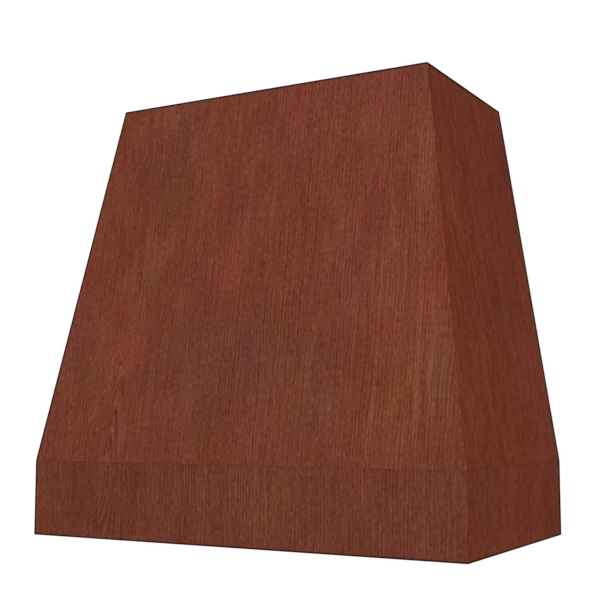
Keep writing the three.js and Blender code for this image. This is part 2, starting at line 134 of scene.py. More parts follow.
# What a tint multiplies the stain by where it is strongest.
RED = (1.02, 0.88, 0.90)
PLUM = (0.97, 0.86, 0.95)
ROSE = (0.98, 0.93, 1.00)
OLIVE = (1.00, 1.13, 1.03)
AMBER = (1.00, 1.00, 0.78)
COOL = (0.90, 0.98, 1.03)
DEEP = (0.90, 0.90, 0.93)
SHADE = (0.84, 0.84, 0.86)
LIGHT = (1.08, 1.08, 1.04)
TAN = (1.06, 1.22, 1.10)
BRIGHT = (1.25, 1.35, 1.20)
TINGE = (1.00, 0.90, 0.96)

# ---------- what each board of the shell looks like ----------

# What the stain of a whole board is tinted by, how fine its streaks are beside the front panel's,
# and how far its hue drifts, up to 1. The tint is partly the board's own tone and partly painted
# shade: the band and the sides are made darker than the front panel, as faces that take less light.
Look = namedtuple("Look", "tone fineness drift", defaults=((1.00, 1.00, 1.00), 1.0, 0.5))
PLAIN_LOOK = Look()
FRONT_PANEL_LOOK = Look(drift=0.9)
# painted shade in part: darker tones for the band and the sides than for the front panel
FRONT_BAND_LOOK = Look((0.94, 0.975, 0.97))
SIDE_PANEL_LOOK = Look((0.98, 0.805, 0.67), 0.95, 1.0)
SIDE_BAND_LOOK = Look((0.98, 0.81, 0.68), 0.95, 0.7)

# Patches in a board's veneer, places with pale stripes, and arched hearts in its grain. Millimetres
# on the board's face, from the middle of its foot: across to the right, then up.
Patch = namedtuple("Patch", "across up half_width half_height tint")
Stripes = namedtuple("Stripes", "across up half_width half_height depth")
Heart = namedtuple("Heart", "across up half_width half_height rings")
PATCHES = {
    "front_panel": (
        Patch(-10, 205, 150, 105, COOL),
        Patch(-235, 575, 75, 120, DEEP),
        Patch(-285, 200, 75, 140, LIGHT),
        Patch(-40, 375, 50, 60, LIGHT),
        Patch(-45, 520, 30, 45, ROSE),
        Patch(20, 648, 45, 45, ROSE),
        Patch(268, 500, 45, 60, ROSE),
        Patch(196, 480, 25, 60, OLIVE),
        Patch(355, 560, 17, 190, TAN),
        Patch(335, 190, 75, 230, LIGHT),
        Patch(300, 385, 14, 50, OLIVE),
        Patch(-221, 370, 20, 45, OLIVE),
        Patch(-188, 178, 16, 45, OLIVE),
        Patch(165, 190, 40, 70, OLIVE),
        Patch(204, 348, 22, 40, OLIVE),
        Patch(405, 120, 26, 120, OLIVE),
        Patch(268, 255, 14, 34, RED),
        Patch(276, 141, 14, 30, ROSE),
        Patch(284, 199, 9, 20, TAN),
        Patch(-292, 280, 16, 30, RED),
        Patch(-287, 237, 5, 9, BRIGHT),
        Patch(268, 615, 5, 7, BRIGHT),
        Patch(303, 391, 5, 8, BRIGHT),
    ),
    "right_side_panel": (
        Patch(-85, 500, 45, 90, LIGHT),
        Patch(60, 305, 120, 65, DEEP),
        Patch(50, 145, 90, 55, LIGHT),
        Patch(-116, 327, 35, 60, PLUM),
        Patch(68, 251, 35, 70, OLIVE),
        Patch(215, 600, 60, 140, DEEP),
    ),
    "front_band": (
        Patch(-215, 75, 70, 90, DEEP),
        Patch(80, 75, 75, 90, LIGHT),
    ),
    "right_side_band": (
        Patch(-180, 115, 80, 45, COOL),
        Patch(45, 75, 60, 100, DEEP),
        Patch(240, 73, 90, 130, SHADE),
    ),
}
STRIPES = {
    "front_panel": (Stripes(320, 200, 110, 300, 0.26),),
    "right_side_panel": (Stripes(0, 200, 200, 300, 0.15),),
}
HEARTS = {
    "front_panel": (Heart(-288, -60, 30, 320, 9),),
    "front_band": (Heart(-325, -20, 40, 90, 9),),
    "left_side_panel": (Heart(40, -100, 70, 420, 14),),
}

# ---------- node trees ----------

# Noise from 0 to 1, mostly near 0.5: a layer of its own, how many features it has to the metre
# across and along, and how much fine detail it has and how rough that is.
Noise = namedtuple("Noise", "layer across along detail roughness", defaults=(2.0, 0.5))


class Finish:
    """One material's nodes, with a short call for each kind of node that the finishes use."""

    def __init__(self, name):
        self.material = bpy.data.materials.new(name)
        self.material.use_nodes = True
        self.tree = self.material.node_tree
        self.tree.nodes.clear()
        self.surface = self.tree.nodes.new("ShaderNodeBsdfPrincipled")
        self.output = self.tree.nodes.new("ShaderNodeOutputMaterial")
        self.feed(self.output.inputs["Surface"], self.surface.outputs["BSDF"])
        coordinates = self.tree.nodes.new("ShaderNodeTexCoord")
        self.place = coordinates.outputs["Object"]
        self.normal = coordinates.outputs["Normal"]

    def feed(self, socket, value):
        """Links a socket to another node's output, or sets it to a plain value."""
        if isinstance(value, bpy.types.NodeSocket):
            self.tree.links.new(value, socket)
        else:
            socket.default_value = value

    def math(self, operation, *values):
        node = self.tree.nodes.new("ShaderNodeMath")
        node.operation = operation
        for socket, value in zip(node.inputs, values):
            self.feed(socket, value)
        return node.outputs[0]

    def add(self, *terms):
        total = terms[0]
        for term in terms[1:]:
            total = self.math("ADD", total, term)
        return total

    def less(self, a, b):
        return self.math("SUBTRACT", a, b)

    def times(self, a, b):
        return self.math("MULTIPLY", a, b)

    def larger(self, a, b):
        return self.math("MAXIMUM", a, b)

    def size(self, value):
        return self.math("ABSOLUTE", value)

    def swing(self, value, reach):
        """A value from 0 to 1 becomes one that swings `reach` either way round 0."""
        return self.times(self.less(value, 0.5), 2 * reach)

    def ramp(self, value, at_0, at_1):
        """A straight line: `at_0` where the value is 0, and `at_1` where it is 1."""
        return self.add(self.times(value, at_1 - at_0), at_0)

    def step(self, value, low, high):
        """0 at `low`, 1 at `high`, and smooth in between. `low` may be the larger."""
        node = self.tree.nodes.new("ShaderNodeMapRange")
        node.interpolation_type = "SMOOTHSTEP"
        for socket, given in zip(node.inputs, (value, low, high, 0.0, 1.0)):
            self.feed(socket, given)
        return node.outputs[0]

    def dot(self, vector, direction):
        node = self.tree.nodes.new("ShaderNodeVectorMath")
        node.operation = "DOT_PRODUCT"
        self.feed(node.inputs[0], vector)
        node.inputs[1].default_value = direction
        return node.outputs["Value"]

    def vector(self, x, y, z):
        node = self.tree.nodes.new("ShaderNodeCombineXYZ")
        for socket, value in zip(node.inputs, (x, y, z)):
            self.feed(socket, value)
        return node.outputs[0]

    def noise(self, kind, across, along, seed=0.0):
        node = self.tree.nodes.new("ShaderNodeTexNoise")
        node.inputs["Scale"].default_value = 1.0
        node.inputs["Detail"].default_value = kind.detail
        node.inputs["Roughness"].default_value = kind.roughness
        x = self.times(across, kind.across)
        y = self.times(along, kind.along)
        self.feed(node.inputs["Vector"], self.vector(x, y, seed + kind.layer))
        return node.outputs["Fac"]

    def mix(self, factor, a, b, how="MIX"):
        node = self.tree.nodes.new("ShaderNodeMix")
        node.data_type = "RGBA"
        node.blend_type = how
        for socket, value in ((node.inputs[0], factor), (node.inputs[6], a), (node.inputs[7], b)):
            self.feed(socket, (*value, 1.0) if isinstance(value, tuple) else value)
        return node.outputs[2]

    def tint(self, colour, tint, amount):
        """Multiplies a colour by a tint, as far as `amount` says."""
        return self.mix(amount, colour, tint, "MULTIPLY")

    def scale(self, colour, level):
        """Multiplies a colour by one number."""
        node = self.tree.nodes.new("ShaderNodeVectorMath")
        node.operation = "SCALE"
        self.feed(node.inputs[0], colour)
        self.feed(node.inputs["Scale"], level)
        return node.outputs[0]

    def distance_squared(self, across, along, place):
        """How far a point is from a place's middle, in its half widths and heights, squared."""
        x = self.times(self.less(across, place.across * MM), 1 / (place.half_width * MM))
        y = self.times(self.less(along, place.up * MM), 1 / (place.half_height * MM))
        return self.add(self.times(x, x), self.times(y, y))

    def bell(self, across, along, place):
        """1 in the middle of a place, falling softly all the way out."""
        square = self.distance_squared(across, along, place)
        return self.math("EXPONENT", self.times(square, -1.0))

    def patch(self, across, along, place):
        """1 over most of a place, falling near its border."""
        square = self.distance_squared(across, along, place)
        return self.math("EXPONENT", self.times(self.times(square, square), -1.0))

    def complete(self, colour, roughness, height, relief, gloss):
        """Ends the tree: colour, roughness, a bump `relief` metres deep, and the specular level."""
        self.feed(self.surface.inputs["Base Color"], colour)
        self.feed(self.surface.inputs["Roughness"], roughness)
        self.surface.inputs["Specular IOR Level"].default_value = gloss
        bump = self.tree.nodes.new("ShaderNodeBump")
        bump.inputs["Distance"].default_value = relief
        self.feed(bump.inputs["Height"], height)
        self.feed(self.surface.inputs["Normal"], bump.outputs[0])
        return self.material


# ---------- boards ----------

LOOKS_AWAY = 0.9  # the least cosine between a face's normal and the way that it is said to look


class Board:
    """A board's own frame: `along` its grain, `out` of its broad face, and `across` the two."""

    def __init__(self, node, along, out, origin, seed, look=PLAIN_LOOK):
        self.node = node
        self.along = along.normalized()
        self.out = out.normalized()
        self.across = self.along.cross(self.out)
        self.origin = origin
        self.seed = seed
        self.look = look

    def coordinates(self, finish):
        """Sockets for how far a point is across, along and out."""
        return [
            finish.less(finish.dot(finish.place, way), self.origin.dot(way))
            for way in (self.across, self.along, self.out)
        ]

    def facing(self, finish):
        """How squarely a surface looks the way of the broad face: 1 on it, -1 on its opposite."""
        return finish.dot(finish.normal, self.out)

    def end_on(self, finish):
        """How squarely a surface cuts the grain: 1 on the ends."""
        return finish.size(finish.dot(finish.normal, self.along))


def broad_face(node, away):
    """A point on a node's largest face that looks roughly `away`, and that face's normal."""
    mesh = bpy.data.objects[node].data
    faces = [face for face in mesh.polygons if face.normal.dot(away) > LOOKS_AWAY]
    largest = max(faces, key=lambda face: face.area)
    return mesh.vertices[largest.vertices[0]].co.copy(), largest.normal.copy()


def outer_board(node, away, seed, look):
    """The frame of a board of the shell: grain up its slope, origin at the foot of its face."""
    point, out = broad_face(node, away)
    along = (UP - out * UP.dot(out)).normalized()
    across = along.cross(out)
    low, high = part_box(node)
    foot = point + along * ((low.z - point.z) / along.z)
    middle = (low + high) / 2
    origin = foot + across * (middle - foot).dot(across)
    return Board(node, along, out, origin, seed, look)


def inner_board(node, along, out, seed):
    """The frame of a board inside, with its origin at the middle of the board."""
    low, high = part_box(node)
    along = along.normalized()
    return Board(node, along, out - along * out.dot(along), (low + high) / 2, seed)


# ---------- grain ----------

# In this and the next sections a pair named SHOWS or SHOW says where a noise begins to show, and
# from where it shows in full. A pair named FACE is the same for how squarely a surface looks a way,
# as a cosine.

# Growth rings to the metre across a board, and how many rings its arches sweep over.
Rings = namedtuple("Rings", "per_metre swept")
RING_RISE = (0.0, 0.75)  # of a ring's width
RING_FALL = (1.0, 0.80)
WANDER = Noise(0, 1.7, 0.9, 1.0)  # sways the grain from side to side
WANDER_REACH = 18 * MM
ARCH = Noise(11, 6.0, 1.3)  # bends the rings into arches

WOOD_FIBRES = Noise(23, 290, 17, 4.0, 0.7)
PORES = Noise(37, 800, 60, 1.0)
PORES_SHOW = (0.58, 0.70)
PORE_LIFT = -0.10
END_FACE = (0.6, 0.8)
WOOD_GLOSS = 0.2


def grain(finish, board, across, along, rings, hearts=()):
    """Long grain: the wandering `across`, and the rings as a socket from 0 to 1."""
    wander = finish.noise(WANDER, across, along, board.seed)
    across = finish.add(across, finish.swing(wander, WANDER_REACH))
    arch = finish.noise(ARCH, across, along, board.seed)
    ring = finish.add(finish.times(across, rings.per_metre), finish.times(arch, rings.swept))
    for heart in hearts:
        ring = finish.add(ring, finish.times(finish.bell(across, along, heart), heart.rings))
    turn = finish.math("FRACT", ring)
    return across, finish.times(finish.step(turn, *RING_RISE), finish.step(turn, *RING_FALL))


def pore_marks(finish, board, across, along):
    """1 in the short open pores and 0 elsewhere."""
    return finish.step(finish.noise(PORES, across, along, board.seed), *PORES_SHOW)


# ---------- stained veneer ----------

VENEER_RINGS = Rings(150, 6.0)
RIPPLE = Noise(83, 28, 12)  # makes the threads waver
RIPPLE_REACH = 3.5 * MM

# How pale the veneer is, from 0 for the dark stain to 1 for the pale one: the level of the plain
# wood, and what each kind of mark does to it.
STREAK_LEVEL = 0.45
THREADS = Noise(59, 270, 100, 3.0, 0.6)
THREAD_SWING = 0.57
FIBRES = Noise(23, 250, 15, 3.0, 0.6)
FIBRE_SWING = 0.40
STRANDS = Noise(67, 190, 3.5, 1.0)
STRAND_SWING = 0.20
FLECKS = Noise(61, 180, 70, 1.0)
FLECKS_SHOW = (0.62, 0.76)
FLECK_LIFT = 0.35
RING_SWING = 0.16
FADING = Noise(53, 35, 6, 1.0)  # of the rings
RINGS_SHOW = (0.30, 0.70)
HEART_CLEARNESS = 0.7
PALE_STRIPES = Noise(71, 130, 3, 1.0)
STRIPES_SHOW = (0.52, 0.66)

# Its hue, and the clouds in it.
TINGES = Noise(73, 240, 80)
TINGE_SHOWS = (0.36, 0.64)
RAGGED = Noise(41, 120, 4)  # frays clouds and patches along the grain
RAGGED_REACH = 100 * MM
HUES = Noise(47, 8, 4, 4.0, 0.65)  # plum at its low end and olive at its high one
PLUM_SHOWS = (0.50, 0.32)
OLIVE_SHOWS = (0.50, 0.68)
AMBERS = Noise(79, 7, 3.5, 4.0, 0.6)
AMBER_SHOWS = (0.36, 0.64)
CLOUDS = Noise(43, 14, 8, 3.0, 0.6)
CLOUD_SWING = 0.26

STREAK_HEIGHT = 0.4  # of a pore's depth
VENEER_RELIEF = 0.10 * MM
VENEER_ROUGHNESS = (0.62, 0.50)  # of the dark stain and of the pale one
VENEER_GLOSS = 0.004  # a matt coat: more would wash the red out with the white all round
STAINED_END_DEPTH = 0.35  # how much darker the stain is on end grain


def stained_streaks(finish, board, across, along, rings):
    """How pale the stained veneer is, mostly near 0.46, and its pores."""
    seed = board.seed
    fine = finish.times(across, board.look.fineness)
    clear = finish.step(finish.noise(FADING, across, along, seed), *RINGS_SHOW)
    for heart in HEARTS.get(board.node, ()):
        there = finish.bell(across, along, heart)
        clear = finish.add(clear, finish.times(there, HEART_CLEARNESS))
    flecks = finish.step(finish.noise(FLECKS, fine, along, seed), *FLECKS_SHOW)
    pores = pore_marks(finish, board, across, along)
    streak = finish.add(
        STREAK_LEVEL,
        finish.swing(finish.noise(THREADS, fine, along, seed), THREAD_SWING),
        finish.swing(finish.noise(FIBRES, fine, along, seed), FIBRE_SWING),
        finish.swing(finish.noise(STRANDS, fine, along, seed), STRAND_SWING),
        finish.times(flecks, FLECK_LIFT),
        finish.times(finish.swing(rings, RING_SWING), clear),
        finish.times(pores, PORE_LIFT),
    )
    pale = finish.step(finish.noise(PALE_STRIPES, fine, along, seed), *STRIPES_SHOW)
    for stripes in STRIPES.get(board.node, ()):
        there = finish.bell(across, along, stripes)
        streak = finish.add(streak, finish.times(finish.times(pale, there), stripes.depth))
    return streak, pores


def stained_colour(finish, board, across, along):
    """Red-brown stain over the grain: soft clouds, a drift of hue, streaks and dark pores."""
    seed = board.seed
    ripple = finish.noise(RIPPLE, across, along, seed)
    across = finish.add(across, finish.swing(ripple, RIPPLE_REACH))
    hearts = HEARTS.get(board.node, ())
    across, rings = grain(finish, board, across, along, VENEER_RINGS, hearts)
    streak, pores = stained_streaks(finish, board, across, along, rings)
    colour = finish.mix(streak, STAIN_DARK, STAIN_PALE)
    fine = finish.times(across, board.look.fineness)
    tinge = finish.noise(TINGES, fine, along, seed)
    colour = finish.tint(colour, TINGE, finish.step(tinge, *TINGE_SHOWS))
    ragged = finish.swing(finish.noise(RAGGED, across, along, seed), RAGGED_REACH)
    cloud_along = finish.add(along, ragged)
    hue = finish.noise(HUES, across, cloud_along, seed)
    amber = finish.noise(AMBERS, across, cloud_along, seed)
    drifts = ((hue, PLUM_SHOWS, PLUM), (hue, OLIVE_SHOWS, OLIVE), (amber, AMBER_SHOWS, AMBER))
    for value, shows, tint in drifts:
        amount = finish.times(finish.step(value, *shows), board.look.drift)
        colour = finish.tint(colour, tint, amount)
    for patch in PATCHES.get(board.node, ()):
        colour = finish.tint(colour, patch.tint, finish.patch(across, cloud_along, patch))
    cloud = finish.swing(finish.noise(CLOUDS, across, cloud_along, seed), CLOUD_SWING)
    return finish.scale(colour, finish.add(cloud, 1.0)), streak, pores


def stained_coat(finish, colour, streak, pores):
    """Ends a stained finish: open pores, and pale streaks that stand up and are smoother."""
    relief = finish.less(finish.times(streak, STREAK_HEIGHT), pores)
    roughness = finish.ramp(streak, *VENEER_ROUGHNESS)
    return finish.complete(colour, roughness, relief, VENEER_RELIEF, VENEER_GLOSS)


def stained_timber(board):
    """Solid timber with the shell's stain, for the frame that the insert is screwed to."""
    finish = Finish(f"{board.node}_finish")
    across, along, out = board.coordinates(finish)
    stained, streak, pores = stained_colour(finish, board, finish.add(across, out), along)
    ends = finish.times(finish.step(board.end_on(finish), *END_FACE), STAINED_END_DEPTH)
    colour = finish.scale(stained, finish.less(1.0, ends))
    return stained_coat(finish, colour, streak, pores)


# ---------- birch plywood ----------

# On a sawn edge the layers turn from long grain to end grain and back, with glue between them.
LAYER_TURN = (0.48, 0.52)  # of the thickness of two layers
GLUE_SHOWS = (0.44, 0.49)  # of a layer's thickness, from its middle
GLUE_DEPTH = 0.7
SAWN_GRIT = Noise(5, 700, 900)
LONG_GRAIN_LEVEL = (0.80, 1.10)  # where the grit is least and where it is most
END_GRAIN_LEVEL = (0.45, 1.55)

BIRCH_RINGS = Rings(14, 8.0)
BIRCH_CLOUDS = Noise(3, 6, 2)
BIRCH_RING_SHARE = 0.30  # of the dark figure
BIRCH_CLOUD_SHARE = 0.6
BIRCH_DARK_SHOWS = (0.15, 0.85)
BIRCH_LEVEL = 0.79
BIRCH_FIBRE_LIFT = 0.45

PLYWOOD_FACE = (0.5, 0.7)
PLYWOOD_ROUGHNESS = (0.42, 0.62)
PLYWOOD_RELIEF = 0.08 * MM


def plywood_edge(finish, across, along, depth):
    """The layers on a sawn edge: long grain, end grain and the dark glue lines between them."""
    layer = finish.times(depth, LAYERS / BOARD)
    crossing = finish.step(finish.math("FRACT", finish.times(layer, 0.5)), *LAYER_TURN)
    grit = finish.noise(SAWN_GRIT, finish.add(across, along), depth)
    lengthwise = finish.scale(BIRCH, finish.ramp(grit, *LONG_GRAIN_LEVEL))
    endwise = finish.scale(PLY_END, finish.ramp(grit, *END_GRAIN_LEVEL))
    colour = finish.mix(crossing, lengthwise, endwise)
    from_middle = finish.size(finish.less(finish.math("FRACT", layer), 0.5))
    glue = finish.times(finish.step(from_middle, *GLUE_SHOWS), GLUE_DEPTH)
    return finish.mix(glue, colour, PLY_GLUE), grit


def birch_face(finish, board, across, along):
    """Clear-finished rotary-cut birch: broad pale figure with fine short flecks."""
    across, rings = grain(finish, board, across, along, BIRCH_RINGS)
    fibres = finish.noise(WOOD_FIBRES, across, along, board.seed)
    pores = pore_marks(finish, board, across, along)
    cloud = finish.noise(BIRCH_CLOUDS, across, along, board.seed)
    figure = finish.add(
        finish.times(rings, BIRCH_RING_SHARE),
        finish.times(cloud, BIRCH_CLOUD_SHARE),
    )
    colour = finish.mix(finish.step(figure, *BIRCH_DARK_SHOWS), BIRCH, BIRCH_DARK)
    level = finish.add(
        finish.times(fibres, BIRCH_FIBRE_LIFT),
        finish.times(pores, PORE_LIFT),
        BIRCH_LEVEL,
    )
    return finish.scale(colour, level), fibres


def plywood(board):
    """Unstained birch plywood: clear-finished faces, and layers on every edge."""
    finish = Finish(f"{board.node}_finish")
    across, along, out = board.coordinates(finish)
    raw, fibres = birch_face(finish, board, across, along)
    edge, grit = plywood_edge(finish, across, along, finish.add(out, BOARD / 2))
    flat = finish.step(finish.size(board.facing(finish)), *PLYWOOD_FACE)
    colour = finish.mix(flat, edge, raw)
    roughness = finish.ramp(grit, *PLYWOOD_ROUGHNESS)
    relief = finish.add(fibres, grit)
    return finish.complete(colour, roughness, relief, PLYWOOD_RELIEF, WOOD_GLOSS)


# ---------- shell: stained outside, birch inside ----------

OUTER_FACE = (0.45, 0.60)
INNER_FACE = (-0.45, -0.60)
RIM_FACE = (-0.6, -0.8)  # measured against up, because the rim looks down
SOAKED_EDGE = (-2.4 * MM, -1.6 * MM)  # the stain goes this far round the outer edges
SOAKED_KNEE = (3 * MM, 2.2 * MM)  # and this far up and down from the knee, in the joint
INNER_BORDER = Noise(9, 60, 60, 3.0)  # of the stain inside the band
INNER_BORDER_REACH = 4 * MM
INNER_BORDER_WIDTH = 3 * MM

# Painted shade: a dark line along an outline edge of the shell. A point on the face that ends the
# board there and that face's normal, how far in from it the line reaches, and how dark it is.
Line = namedtuple("Line", "point normal width depth")
SHADE_LINE_CORE = 0.45  # the part of a line's width that is as dark as its edge


def near_edge(finish, line):
    """1 where the line's face ends the board, falling to 0 at the line's width in from it."""
    inside = finish.less(line.point.dot(line.normal), finish.dot(finish.place, line.normal))
    return finish.step(inside, line.width, line.width * SHADE_LINE_CORE)


def stained_outside(finish, out, facing, inside):
    """1 on the outer face, a little way round its edges, and in the joint at the knee."""
    from_knee = finish.size(finish.less(finish.dot(finish.place, UP), KNEE_HEIGHT))
    knee = finish.times(finish.step(from_knee, *SOAKED_KNEE), finish.less(1.0, inside))
    soaked = finish.larger(finish.step(out, *SOAKED_EDGE), knee)
    return finish.larger(finish.step(facing, *OUTER_FACE), soaked)


def stained_low_down(finish, across, along, inside):
    """1 on the rim and low on the inner face, up to a slightly ragged border."""
    rim = finish.step(finish.dot(finish.normal, UP), *RIM_FACE)
    ragged = finish.swing(finish.noise(INNER_BORDER, across, along), INNER_BORDER_REACH)
    height = finish.add(finish.dot(finish.place, UP), ragged)
    low = finish.step(height, STAINED_INSIDE_BELOW, STAINED_INSIDE_BELOW - INNER_BORDER_WIDTH)
    return finish.times(finish.larger(rim, inside), low)


def shell_finish(board, lines):
    """A board of the shell: stained veneer outside, birch inside, plywood layers on its edges."""
    finish = Finish(f"{board.node}_finish")
    across, along, out = board.coordinates(finish)
    facing = board.facing(finish)
    inside = finish.step(facing, *INNER_FACE)
    stained, streak, pores = stained_colour(finish, board, across, along)
    # partly the board's own tone and partly painted shade on the band and the sides
    stained = finish.tint(stained, board.look.tone, 1.0)
    # painted shade: each line darkens the stain along an outline edge of the board
    for line in lines:
        dark = finish.times(near_edge(finish, line), line.depth)
        stained = finish.scale(stained, finish.less(1.0, dark))
    raw = birch_face(finish, board, across, along)[0]
    edge = plywood_edge(finish, across, along, finish.times(out, -1.0))[0]
    bare = finish.mix(inside, edge, raw)
    coated = finish.larger(
        stained_outside(finish, out, facing, inside),
        stained_low_down(finish, across, along, inside),
    )
    return stained_coat(finish, finish.mix(coated, bare, stained), streak, pores)


# ---------- poplar ----------

POPLAR_RINGS = Rings(120, 4.0)
POPLAR_SLANT = 0.6  # leans the rings through a strip, so that its sides show them too
POPLAR_STREAKS = Noise(5, 30, 2.5)
GREEN_SHOWS = (0.45, 0.70)
POPLAR_LEVEL = 0.72
POPLAR_RING_LIFT = 0.14
POPLAR_FIBRE_LIFT = 0.30
POPLAR_END_LIFT = -0.30
POPLAR_ROUGHNESS = (0.5, 0.7)
POPLAR_RELIEF = 0.10 * MM


def poplar(board):
    """Planed poplar: pale yellow with green-brown streaks, and darker end grain with rings."""
    finish = Finish(f"{board.node}_finish")
    across, along, out = board.coordinates(finish)
    slanting = finish.add(across, finish.times(out, POPLAR_SLANT))
    across, rings = grain(finish, board, slanting, along, POPLAR_RINGS)
    fibres = finish.noise(WOOD_FIBRES, across, along, board.seed)
    green = finish.noise(POPLAR_STREAKS, across, along, board.seed)
    colour = finish.mix(finish.step(green, *GREEN_SHOWS), POPLAR, POPLAR_GREEN)
    ends = finish.step(board.end_on(finish), *END_FACE)
    level = finish.add(
        finish.times(rings, POPLAR_RING_LIFT),
        finish.times(fibres, POPLAR_FIBRE_LIFT),
        finish.times(ends, POPLAR_END_LIFT),
        POPLAR_LEVEL,
    )
    colour = finish.scale(colour, level)
    roughness = finish.ramp(fibres, *POPLAR_ROUGHNESS)
    return finish.complete(colour, roughness, fibres, POPLAR_RELIEF, WOOD_GLOSS)


# ---------- zinced steel ----------

ZINC_BLOOM = Noise(3, 420, 420, 3.0)
BLOOM_SHOWS = (0.40, 0.65)
TURNING_MARKS = Noise(7, 2500, 2500, 1.0)
ZINC_ROUGHNESS = (0.18, 0.53)  # where there is no bloom and where it is strongest
ZINC_RELIEF = 0.02 * MM
ZINC_GLOSS = 0.5


def zinced_steel():
    """Bright zinc on the screws, with a dull bloom and fine turning marks."""
    finish = Finish("zinced_steel")
    x, y, z = (finish.dot(finish.place, way) for way in (RIGHT, BACK, UP))
    bloom = finish.noise(ZINC_BLOOM, finish.add(x, z), finish.add(y, z))
    marks = finish.noise(TURNING_MARKS, finish.add(x, y), z)
    colour = finish.mix(finish.step(bloom, *BLOOM_SHOWS), ZINC, ZINC_DULL)
    roughness = finish.ramp(bloom, *ZINC_ROUGHNESS)
    finish.surface.inputs["Metallic"].default_value = 1.0
    return finish.complete(colour, roughness, marks, ZINC_RELIEF, ZINC_GLOSS)


# ---------- edges and bores of the boards ----------

SMOOTH_BELOW = math.radians(35)  # shallower edges are facets of a round
WELD_WITHIN = 0.01 * MM
SHELL_EASE = 0.05 * MM
INNER_EASE = 0.4 * MM
EASE_STEPS = 2


def smooth_by_angle():
    """A modifier tree that drops stored normals and shades smooth across shallow edges."""
    tree = bpy.data.node_groups.new("smooth_shallow_edges", "GeometryNodeTree")
    tree.interface.new_socket("Geometry", in_out="INPUT", socket_type="NodeSocketGeometry")
    tree.interface.new_socket("Geometry", in_out="OUTPUT", socket_type="NodeSocketGeometry")
    entry = tree.nodes.new("NodeGroupInput")
    leave = tree.nodes.new("NodeGroupOutput")
    bare = tree.nodes.new("GeometryNodeRemoveAttribute")
    bare.inputs["Name"].default_value = "custom_normal"
    faces = tree.nodes.new("GeometryNodeSetShadeSmooth")
    edges = tree.nodes.new("GeometryNodeSetShadeSmooth")
    edges.domain = "EDGE"
    angle = tree.nodes.new("GeometryNodeInputMeshEdgeAngle")
    shallow = tree.nodes.new("FunctionNodeCompare")
    shallow.operation = "LESS_THAN"
    shallow.inputs["B"].default_value = SMOOTH_BELOW
    tree.links.new(entry.outputs[0], bare.inputs["Geometry"])
    tree.links.new(bare.outputs["Geometry"], faces.inputs["Geometry"])
    tree.links.new(faces.outputs["Geometry"], edges.inputs["Geometry"])
    tree.links.new(angle.outputs["Unsigned Angle"], shallow.inputs["A"])
    tree.links.new(shallow.outputs["Result"], edges.inputs["Shade Smooth"])
    tree.links.new(edges.outputs["Geometry"], leave.inputs[0])
    return tree


def ease(node, smoothing, width):
    """Sands a board's sharp edges to a small round and shades its round bores smooth."""
    board = bpy.data.objects[node]
    weld = board.modifiers.new("weld", "WELD")
    weld.merge_threshold = WELD_WITHIN
    smooth = board.modifiers.new("smooth", "NODES")
    smooth.node_group = smoothing
    bevel = board.modifiers.new("ease", "BEVEL")
    bevel.width = width
    bevel.segments = EASE_STEPS
    bevel.limit_method = "ANGLE"
    bevel.angle_limit = SMOOTH_BELOW
    bevel.harden_normals = True


def dress(node, material):
    for slot in bpy.data.objects[node].material_slots:
        slot.material = material


# ---------- dressing the boards ----------

# Where the noise of the first board of a kind starts, and how far on that of the next one does.
SHELL_SEED = 3.0
SHELL_SEED_STEP = 1.7
INNER_SEED = 20.0
INNER_SEED_STEP = 2.3


def dress_shell(smoothing):
    """Each board of the shell: the way it looks out, its look and its lines of painted shade."""
    low, high = cad_box
    # Painted shade along outline edges: the front panel's left edge has a line, its near right edge
    # none.
    top = Line(high, UP, 5.4 * MM, 0.85)
    side_top = Line(high, UP, 8.0 * MM, 0.93)
    rim = Line(low, -UP, 4.2 * MM, 0.8)
    wall = Line(high, BACK, 13.5 * MM, 0.85)
    left = Line(*broad_face("left_side_panel", LEFT), 6.8 * MM, 0.83)
    left_band = Line(*broad_face("left_side_band", LEFT), 6.8 * MM, 0.85)
    shell = {
        "front_panel": (FRONT, FRONT_PANEL_LOOK, (top, left)),
        "left_side_panel": (LEFT, SIDE_PANEL_LOOK, (side_top, wall)),
        "right_side_panel": (RIGHT, SIDE_PANEL_LOOK, (side_top, wall)),
        "front_band": (FRONT, FRONT_BAND_LOOK, (rim, left_band)),
        "left_side_band": (LEFT, SIDE_BAND_LOOK, (rim, wall)),
        "right_side_band": (RIGHT, SIDE_BAND_LOOK, (rim, wall)),
    }
    for order, (node, (away, look, lines)) in enumerate(shell.items()):
        board = outer_board(node, away, SHELL_SEED + SHELL_SEED_STEP * order, look)
        dress(node, shell_finish(board, lines))
        ease(node, smoothing, SHELL_EASE)


